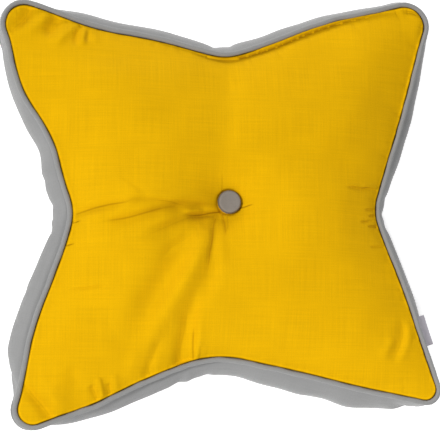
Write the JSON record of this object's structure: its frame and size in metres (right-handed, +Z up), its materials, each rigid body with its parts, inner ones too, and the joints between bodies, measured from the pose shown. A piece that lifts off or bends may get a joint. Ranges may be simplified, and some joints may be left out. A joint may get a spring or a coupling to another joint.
{
  "type": "star floor cushion",
  "caption": "Star-shaped box floor cushion with a yellow top, grey side band, piping in its seams and a button that draws in its middle.",
  "frame": {"origin": "on the surface the cushion lies on, under the middle of its outline", "axes": "+Z up through the cushion to its yellow face, +Y towards the side between the two upper points, +X towards the side with the lower right point"},
  "size_m": [0.6256, 0.622, 0.111],
  "materials": {
    "yellow_cotton": "matte plain-weave cotton canvas, warm yellow, softly creased",
    "grey_cotton": "matte plain-weave cotton canvas, light grey",
    "piping_cotton": "the grey cotton cut on the bias and drawn tight over cord",
    "button_cotton": "warm grey cotton stretched over a button shell",
    "label_tape": "smooth woven tape, grey with a lilac cast, blank"
  },
  "bodies": {
    "root": {"filled_body": "grey_cotton", "top_panel": "yellow_cotton", "top_piping": "piping_cotton", "bottom_piping": "piping_cotton", "top_button": "button_cotton", "back_button": "button_cotton", "side_label": "label_tape"}
  },
  "joints": []
}
